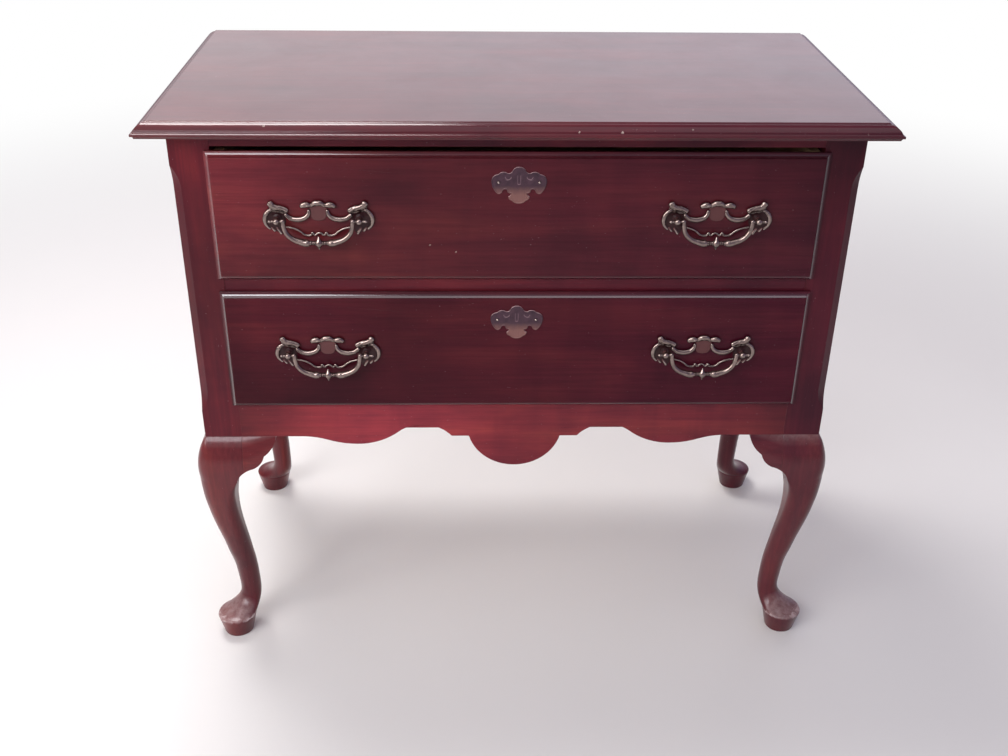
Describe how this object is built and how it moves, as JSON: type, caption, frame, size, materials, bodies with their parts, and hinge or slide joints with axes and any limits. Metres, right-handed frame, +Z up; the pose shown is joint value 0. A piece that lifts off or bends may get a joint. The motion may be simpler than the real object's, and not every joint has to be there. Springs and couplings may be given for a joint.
{
  "type": "lowboy",
  "caption": "Mahogany-finished lowboy with two lipped drawers, a shaped apron, chamfered posts and cabriole legs on pad feet, with pierced bail pulls and shaped escutcheons.",
  "frame": {"origin": "on the floor, under the middle of the top board's outline", "axes": "+X to the piece's left-to-right as seen from the front, +Y from the front to the back, +Z up"},
  "size_m": [0.794, 0.402, 0.693],
  "materials": {
    "lacquered_mahogany": "satin lacquer",
    "plain_wood": "unfinished",
    "aged_brass": "antiqued",
    "screw_steel": "plain"
  },
  "bodies": {
    "case": {"top_board": "lacquered_mahogany", "front_post_left": "lacquered_mahogany", "front_post_right": "lacquered_mahogany", "rear_post_left": "lacquered_mahogany", "rear_post_right": "lacquered_mahogany", "side_panel_left": "lacquered_mahogany", "side_panel_right": "lacquered_mahogany", "back_panel": "plain_wood", "front_top_rail": "lacquered_mahogany", "drawer_divider_rail": "lacquered_mahogany", "apron": "lacquered_mahogany", "back_top_rail": "plain_wood", "back_middle_rail": "plain_wood", "lower_front_rail": "plain_wood", "back_lower_rail": "plain_wood", "upper_runner_left": "plain_wood", "upper_runner_right": "plain_wood", "lower_runner_left": "plain_wood", "lower_runner_right": "plain_wood", "kicker_left": "plain_wood", "kicker_right": "plain_wood", "dust_panel": "plain_wood", "leg_front_left": "lacquered_mahogany", "leg_front_right": "lacquered_mahogany", "leg_rear_left": "lacquered_mahogany", "leg_rear_right": "lacquered_mahogany", "front_knee_block_left": "lacquered_mahogany", "front_knee_block_right": "lacquered_mahogany", "side_knee_blocks_left": "lacquered_mahogany", "side_knee_blocks_right": "lacquered_mahogany", "glue_blocks": "plain_wood", "leg_dowels": "plain_wood", "top_screws": "screw_steel"},
    "upper_drawer": {"upper_drawer_front": "lacquered_mahogany", "upper_drawer_side_left": "plain_wood", "upper_drawer_side_right": "plain_wood", "upper_drawer_back": "plain_wood", "upper_drawer_bottom": "plain_wood", "upper_backplate_left": "aged_brass", "upper_backplate_right": "aged_brass", "upper_pull_posts": "aged_brass", "upper_pull_nuts": "aged_brass", "upper_escutcheon": "aged_brass", "upper_escutcheon_nails": "aged_brass"},
    "lower_drawer": {"lower_drawer_front": "lacquered_mahogany", "lower_drawer_side_left": "plain_wood", "lower_drawer_side_right": "plain_wood", "lower_drawer_back": "plain_wood", "lower_drawer_bottom": "plain_wood", "lower_backplate_left": "aged_brass", "lower_backplate_right": "aged_brass", "lower_pull_posts": "aged_brass", "lower_pull_nuts": "aged_brass", "lower_escutcheon": "aged_brass", "lower_escutcheon_nails": "aged_brass"},
    "upper_bail_left": {"upper_bail_left": "aged_brass"},
    "upper_bail_right": {"upper_bail_right": "aged_brass"},
    "lower_bail_left": {"lower_bail_left": "aged_brass"},
    "lower_bail_right": {"lower_bail_right": "aged_brass"}
  },
  "joints": [
    {"name": "upper_drawer_slide", "type": "slide", "parent": "case", "child": "upper_drawer", "axis": [0, -1, 0], "range_m": [0, 0.24]},
    {"name": "lower_drawer_slide", "type": "slide", "parent": "case", "child": "lower_drawer", "axis": [0, -1, 0], "range_m": [0, 0.24]},
    {"name": "upper_bail_left_swing", "type": "hinge", "parent": "upper_drawer", "child": "upper_bail_left", "pos_m": [-0.214, -0.1925, 0.5853], "axis": [-1, 0, 0], "range_deg": [0, 150]},
    {"name": "upper_bail_right_swing", "type": "hinge", "parent": "upper_drawer", "child": "upper_bail_right", "pos_m": [0.214, -0.1925, 0.5853], "axis": [-1, 0, 0], "range_deg": [0, 150]},
    {"name": "lower_bail_left_swing", "type": "hinge", "parent": "lower_drawer", "child": "lower_bail_left", "pos_m": [-0.214, -0.1925, 0.4231], "axis": [-1, 0, 0], "range_deg": [0, 150]},
    {"name": "lower_bail_right_swing", "type": "hinge", "parent": "lower_drawer", "child": "lower_bail_right", "pos_m": [0.214, -0.1925, 0.4231], "axis": [-1, 0, 0], "range_deg": [0, 150]}
  ]
}
